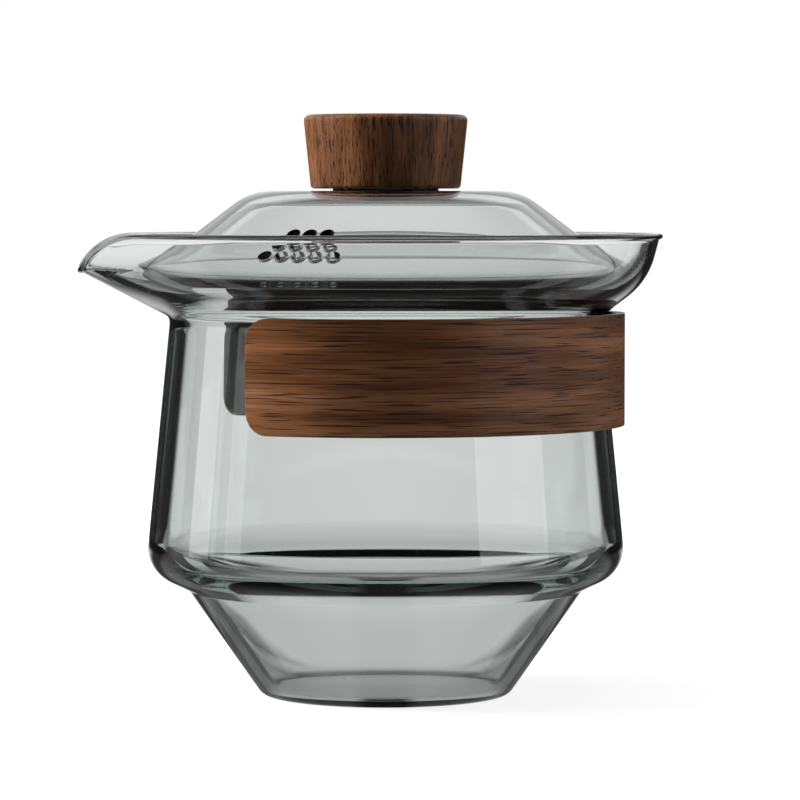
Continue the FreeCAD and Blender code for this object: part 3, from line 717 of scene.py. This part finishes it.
def ring_places(arc_length):
    """Places along an open ring, closer together at its rounded corners."""
    corner_turns = [pi / 2 * part / CORNER_COLUMNS for part in range(CORNER_COLUMNS + 1)]
    near_end = [BAND_CORNER * (1 - cos(turn)) for turn in corner_turns]
    middle = list(np.linspace(BAND_CORNER, arc_length - BAND_CORNER, BAND_COLUMNS))[1:-1]
    return near_end + middle + [arc_length - place for place in reversed(near_end)]


def open_ring(name, outside, thickness, edge_round, material):
    """Upright ring, open at the lip, with rounded corners and softened edges."""
    arc_length = 2 * (pi - BAND_GAP) * outside
    places = ring_places(arc_length)
    rows = BAND_ROWS
    vertices = []
    for place in places:
        angle = BAND_TURNED + BAND_GAP - pi + place / outside
        drop = end_drop(min(place, arc_length - place))
        for radius in (outside, outside - thickness):
            for row in range(rows + 1):
                height = BAND_BOTTOM + drop + (BAND_TOP - BAND_BOTTOM - 2 * drop) * row / rows
                vertices.append((radius * cos(angle), radius * sin(angle), height))
    size = 2 * (rows + 1)
    faces = []
    for index in range(len(places) - 1):
        here = index * size
        there = here + size
        for row in range(rows):
            faces.append((here + row, there + row, there + row + 1, here + row + 1))
            inner = rows + 1 + row
            faces.append((here + inner, here + inner + 1, there + inner + 1, there + inner))
        faces.append((here, here + rows + 1, there + rows + 1, there))
        faces.append((here + rows, there + rows, there + size - 1, here + size - 1))
    last = (len(places) - 1) * size
    for row in range(rows):
        inner = rows + 1 + row
        faces.append((row, row + 1, inner + 1, inner))
        faces.append((last + row, last + inner, last + inner + 1, last + row + 1))
    piece = new_object(name, vertices, faces, material)
    bevel = piece.modifiers.new("edges", "BEVEL")
    bevel.width = edge_round
    bevel.segments = BEVEL_SEGMENTS
    bevel.limit_method = "ANGLE"
    bevel.angle_limit = SHARP_EDGE
    weighted = piece.modifiers.new("normals", "WEIGHTED_NORMAL")
    weighted.keep_sharp = True
    return piece


class Wiring:
    """Short way to add nodes to a node tree."""

    def __init__(self, tree):
        self.nodes = tree.nodes
        self.links = tree.links

    def feed(self, node, inputs):
        """Gives a node's inputs, by name or number, their values or the outputs they are linked to."""
        for name, value in inputs.items():
            if isinstance(value, bpy.types.NodeSocket):
                self.links.new(value, node.inputs[name])
            else:
                node.inputs[name].default_value = value

    def add(self, kind, inputs, **settings):
        """Outputs of a new node with its settings made and its inputs fed."""
        node = self.nodes.new("ShaderNode" + kind)
        for name, setting in settings.items():
            setattr(node, name, setting)
        self.feed(node, inputs)
        return node.outputs

    def math(self, kind, *values):
        """One sum of values or outputs."""
        return self.add("Math", dict(enumerate(values)), operation=kind)["Value"]

    def colours(self, value, stops):
        """Colour read from (place, colour) stops."""
        ramp = self.nodes.new("ShaderNodeValToRGB")
        self.feed(ramp, {"Fac": value})
        elements = ramp.color_ramp.elements
        elements[0].position, elements[0].color = stops[0]
        elements[1].position, elements[1].color = stops[-1]
        for place, colour in stops[1:-1]:
            elements.new(place).color = colour
        return ramp.outputs["Color"]

    def levels(self, value, stops):
        """Brightness read from (place, level) stops."""
        return self.colours(value, [(place, (level, level, level, 1)) for place, level in stops])

    def mixed(self, kind, share, first, second):
        """Mix of two colours, with the second one's part in it given by a share."""
        inputs = {"Factor": share, "A": first, "B": second}
        return self.add("Mix", inputs, data_type="RGBA", blend_type=kind)["Result"]

    def either(self, share, first, second):
        """The first value where a share is 1, and the second where it is 0."""
        return self.add("Mix", {"Factor": share, "A": second, "B": first})["Result"]


def new_material(name):
    """Node material, with its wiring and its principled shader."""
    material = bpy.data.materials.new(name)
    material.use_nodes = True
    wiring = Wiring(material.node_tree)
    return material, wiring, wiring.nodes["Principled BSDF"]


def make_glass():
    """Smoked borosilicate: clear refraction, grey absorption, the faint waviness of blown glass, and painted
    shade: a near black outline where it is seen edge on and a darker tint on the marked rim and lid edges.
    """
    material, wiring, shader = new_material("smoked_glass")
    # Painted shade: the base colour turns near black where the glass is seen edge on
    facing = wiring.add("LayerWeight", {"Blend": 0.5})["Facing"]
    outline = wiring.colours(facing, PAINTED_OUTLINE_SHADE_STOPS)
    # Painted shade: the marked rim and lid edges get a darker base colour
    polished = wiring.add("Attribute", {}, attribute_name=PAINTED_SHADE_MARK)["Fac"]
    place = wiring.add("TexCoord", {})["Object"]
    waves = wiring.add("TexNoise", {"Vector": place, "Scale": GLASS_WAVES, "Detail": 1.0})["Fac"]
    bump = wiring.add("Bump", {"Height": waves, "Strength": GLASS_WAVINESS, "Distance": GLASS_RELIEF})
    wiring.feed(shader, {
        "Base Color": wiring.mixed("MIX", polished, outline, EDGE_SHADE),
        "Roughness": 0.0,
        "IOR": GLASS_IOR,
        "Transmission Weight": 1.0,
        "Normal": bump["Normal"],
    })
    absorption = wiring.add("VolumeAbsorption", {"Color": SMOKE, "Density": SMOKE_DENSITY})
    wiring.feed(wiring.nodes["Material Output"], {"Volume": absorption["Volume"]})
    return material


def wood_nodes(wiring, shader, grain, ends=None):
    """Walnut figure on grain coordinates: X along the grain, Y and Z across it, in metres.

    Where the share called ends is 1 the wood is stained black.
    """
    def noise(waves, detail, roughness):
        place = wiring.add("Mapping", {"Vector": grain, "Scale": waves})["Vector"]
        inputs = {"Vector": place, "Scale": 1.0, "Detail": detail, "Roughness": roughness}
        return wiring.add("TexNoise", inputs)["Fac"]

    figure = wiring.colours(noise(FIGURE_WAVES, detail=4.0, roughness=0.55), FIGURE_STOPS)
    fibres = wiring.colours(noise(FIBRE_WAVES, detail=3.0, roughness=0.55), FIBRE_STOPS)
    pores = wiring.colours(noise(PORE_WAVES, detail=1.0, roughness=0.4), PORE_STOPS)
    colour = wiring.mixed("MULTIPLY", FIBRE_DEPTH, figure, fibres)
    colour = wiring.mixed("MULTIPLY", PORE_DEPTH, colour, pores)
    if ends is not None:
        colour = wiring.mixed("MIX", ends, colour, END_STAIN)
    roughness = wiring.add("MapRange", {"Value": pores, "To Min": PORE_ROUGHNESS, "To Max": WOOD_ROUGHNESS})
    relief = wiring.mixed("MULTIPLY", 1.0, fibres, pores)
    bump = wiring.add("Bump", {"Height": relief, "Strength": 0.5, "Distance": WOOD_RELIEF})
    wiring.feed(shader, {
        "Base Color": colour,
        "Roughness": roughness["Result"],
        "Specular IOR Level": WOOD_SHINE,
        "Normal": bump["Normal"],
    })


def make_band_wood():
    """Walnut veneer bent round the axis, its grain along the bend and its cut ends stained."""
    material, wiring, shader = new_material("walnut_band")
    coordinates = wiring.add("TexCoord", {})
    parts = wiring.add("SeparateXYZ", {"Vector": coordinates["Object"]})
    turn = wiring.math("ARCTAN2", parts["Y"], parts["X"])
    along = wiring.math("MULTIPLY", turn, BAND_OUTSIDE)
    grain = wiring.add("CombineXYZ", {"X": along, "Y": parts["Z"]})
    outward = wiring.add("CombineXYZ", {"X": parts["X"], "Y": parts["Y"]})
    axis = (0, 0, 1 / BAND_OUTSIDE)
    around = wiring.add("VectorMath", {0: outward["Vector"], 1: axis}, operation="CROSS_PRODUCT")
    sides = {0: around["Vector"], 1: coordinates["Normal"]}
    facing = wiring.math("ABSOLUTE", wiring.add("VectorMath", sides, operation="DOT_PRODUCT")["Value"])
    ends = wiring.add("MapRange", {"Value": facing, "From Min": END_STARTS, "From Max": END_FULL})
    wood_nodes(wiring, shader, grain["Vector"], ends["Result"])
    return material


def make_knob_wood():
    """Solid walnut with its grain upright."""
    material, wiring, shader = new_material("walnut_knob")
    place = wiring.add("TexCoord", {})["Object"]
    parts = wiring.add("SeparateXYZ", {"Vector": place})
    grain = wiring.add("CombineXYZ", {"X": parts["Z"], "Y": parts["X"], "Z": parts["Y"]})
    wood_nodes(wiring, shader, grain["Vector"])
    return material


def make_plain(name, colours, waves, roughness):
    """Matt material mottled between two colours."""
    material, wiring, shader = new_material(name)
    place = wiring.add("TexCoord", {})["Object"]
    mottle = wiring.add("TexNoise", {"Vector": place, "Scale": waves, "Detail": 4.0})["Fac"]
    bump = wiring.add("Bump", {"Height": mottle, "Strength": 0.2, "Distance": PLAIN_RELIEF})
    wiring.feed(shader, {
        "Base Color": wiring.colours(mottle, [(end, (*colour, 1)) for end, colour in enumerate(colours)]),
        "Roughness": roughness,
        "Specular IOR Level": 0.2,
        "Normal": bump["Normal"],
    })
    return material


def dress(piece, body, node):
    """Puts a piece on its body in place of a node."""
    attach(piece, body)
    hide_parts(node)


def seen_share(wiring, path):
    """1 for rays that see a backdrop, straight or in glass or gloss, and 0 for light on things."""
    seen = wiring.math("MAXIMUM", path["Is Camera Ray"], path["Is Glossy Ray"])
    return wiring.math("MAXIMUM", seen, path["Is Transmission Ray"])


def surround_level(wiring, path, vector, on_floor):
    """Brightness of the surround in a direction, white to the eye, and distance from the axis.

    On the floor the direction is a place: the cards start further out, and a painted shadow darkens it under
    and around the pot.
    """
    math = wiring.math
    levels = wiring.levels
    parts = wiring.add("SeparateXYZ", {"Vector": vector})
    turn = math("SUBTRACT", math("ARCTAN2", parts["Y"], parts["X"]), pi / 2 + VIEW_TURN)
    turn = math("ARCTAN2", math("SINE", turn), math("COSINE", turn))
    turn = math("DIVIDE", math("ABSOLUTE", turn), pi)
    distance = math("SQRT", math("ADD", *[math("POWER", parts[axis], 2.0) for axis in ("X", "Y")]))
    refracted = levels(turn, CARD_STOPS)
    mirrored = levels(turn, GLOSS_STOPS)
    if on_floor:
        close = levels(distance, CLOSE_STOPS)
        near = math("MULTIPLY", levels(distance, CARDS_FROM), levels(turn, NEAR_STOPS))
        near = math("MAXIMUM", near, close)
        # Painted shadow: the floor as the glass shows it is darkened under and around the foot, more at the
        # front and sides
        back = math("MAXIMUM", levels(turn, FLOOR_BACK), math("SUBTRACT", 1.0, close))
        under = math("MULTIPLY", levels(distance, PAINTED_FLOOR_SHADOW_STOPS), back)
        under = math("MAXIMUM", under, levels(turn, FLOOR_SIDES))
        refracted = math("MULTIPLY", math("MAXIMUM", refracted, near), under)
        mirrored = math("MULTIPLY", math("MAXIMUM", mirrored, near), under)
    else:
        climb = math("DIVIDE", math("ARCTAN2", parts["Z"], distance), pi / 2)
        over = levels(climb, CARD_TOP)
        refracted = math("MULTIPLY", math("MAXIMUM", refracted, over), levels(climb, CEILING))
        mirrored = math("MAXIMUM", mirrored, math("MULTIPLY", over, levels(turn, GLOSS_BACK)))
        mirrored = math("MAXIMUM", mirrored, levels(climb, GLOSS_CEILING))
    level = wiring.either(path["Is Transmission Ray"], refracted, mirrored)
    return math("MAXIMUM", path["Is Camera Ray"], level), distance


def make_floor():
    """Plain pale floor that stays white to the eye and keeps a soft shadow."""
    bpy.ops.mesh.primitive_plane_add(size=FLOOR_SIZE)
    floor = bpy.context.object
    floor.name = "floor"
    floor.location.z = -FLOOR_GAP
    material = bpy.data.materials.new("floor_white")
    material.use_nodes = True
    wiring = Wiring(material.node_tree)
    wiring.nodes.clear()
    path = wiring.add("LightPath", {})
    place = wiring.add("NewGeometry", {})["Position"]
    level, distance = surround_level(wiring, path, place, on_floor=True)
    unseen = wiring.math("SUBTRACT", 1.0, path["Is Camera Ray"])
    share = wiring.math("MAXIMUM", unseen, wiring.levels(distance, FLOOR_GLOW))
    glow = wiring.add("Emission", {"Strength": wiring.math("MULTIPLY", level, share)})
    matt = wiring.add("BsdfDiffuse", {"Color": wiring.math("MULTIPLY", path["Is Camera Ray"], FLOOR_MATT)})
    shown = wiring.add("AddShader", {0: glow["Emission"], 1: matt["BSDF"]})["Shader"]
    plain = wiring.add("BsdfDiffuse", {"Color": FLOOR_BOUNCE})["BSDF"]
    surface = wiring.add("MixShader", {"Fac": seen_share(wiring, path), 1: plain, 2: shown})
    wiring.add("OutputMaterial", {"Surface": surface["Shader"]})
    floor.data.materials.append(material)


def make_world():
    """White surround to the eye, and a dimmer even light on things."""
    world = bpy.data.worlds.new("studio")
    bpy.context.scene.world = world
    world.use_nodes = True
    wiring = Wiring(world.node_tree)
    wiring.nodes.clear()
    path = wiring.add("LightPath", {})
    direction = wiring.add("TexCoord", {})["Generated"]
    level, _ = surround_level(wiring, path, direction, on_floor=False)
    light = wiring.add("Background", {"Color": WHITE, "Strength": LIGHT_LEVEL})["Background"]
    shown = wiring.add("Background", {"Color": WHITE, "Strength": level})["Background"]
    surface = wiring.add("MixShader", {"Fac": seen_share(wiring, path), 1: light, 2: shown})
    wiring.add("OutputWorld", {"Surface": surface["Shader"]})


def view_point(right, away, height):
    """Point by its distances to the right of, beyond and above the pot's foot, as the camera sees it."""
    return Vector((
        right * cos(VIEW_TURN) - away * sin(VIEW_TURN),
        right * sin(VIEW_TURN) + away * cos(VIEW_TURN),
        height,
    ))


def place_facing(name, data, location, target):
    """New camera or lamp at a place, turned to a target."""
    thing = bpy.data.objects.new(name, data)
    bpy.context.scene.collection.objects.link(thing)
    thing.location = location
    thing.rotation_euler = (target - thing.location).to_track_quat("-Z", "Y").to_euler()
    return thing


def make_camera():
    """Camera at the photograph's viewing angle."""
    data = bpy.data.cameras.new("camera")
    data.lens = LENS
    data.sensor_width = SENSOR
    eye = view_point(0, -EYE_DISTANCE, EYE_HEIGHT)
    bpy.context.scene.camera = place_facing("camera", data, eye, view_point(LOOK_RIGHT, 0, LOOK_HEIGHT))


def make_softbox(name, angle, width, height, level, radiance, mirrored):
    """Upright softbox that faces the pot, at an angle in degrees to the right of the camera."""
    data = bpy.data.lights.new(name, "AREA")
    data.shape = "RECTANGLE"
    data.size = width
    data.size_y = height
    data.energy = radiance * width * height * pi
    turn = radians(angle)
    place = view_point(LAMP_DISTANCE * sin(turn), -LAMP_DISTANCE * cos(turn), level)
    lamp = place_facing(name, data, place, Vector((0, 0, LAMP_AIM)))
    lamp.visible_camera = False
    lamp.visible_transmission = False
    lamp.visible_glossy = mirrored


glass = make_glass()
dress(make_pot(glass), "pot", "glass_pot")
dress(make_lid(glass), "lid", "glass_lid")
dress(make_knob(make_knob_wood()), "lid", "lid_knob")
band = open_ring("band_walnut", BAND_OUTSIDE, BAND_THICKNESS, BAND_EDGE_ROUND, make_band_wood())
dress(band, "band", "grip_band")
black = make_plain("black_lining", LINING_COLOURS, LINING_WAVES, roughness=0.5)
lining = open_ring("band_lining_sheet", LINING_OUTSIDE, LINING_THICKNESS, LINING_EDGE_ROUND, black)
dress(lining, "band", "band_lining")
bond_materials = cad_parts["knob_bond"].data.materials
bond_materials.clear()
bond_materials.append(make_plain("cured_adhesive", ADHESIVE_COLOURS, ADHESIVE_WAVES, roughness=0.4))

make_floor()
make_world()
for softbox in SOFTBOXES:
    make_softbox(*softbox)
make_camera()

scene = bpy.context.scene
scene.view_settings.view_transform = "Standard"
scene.cycles.max_bounces = 32
scene.cycles.transmission_bounces = 32
scene.cycles.glossy_bounces = 16
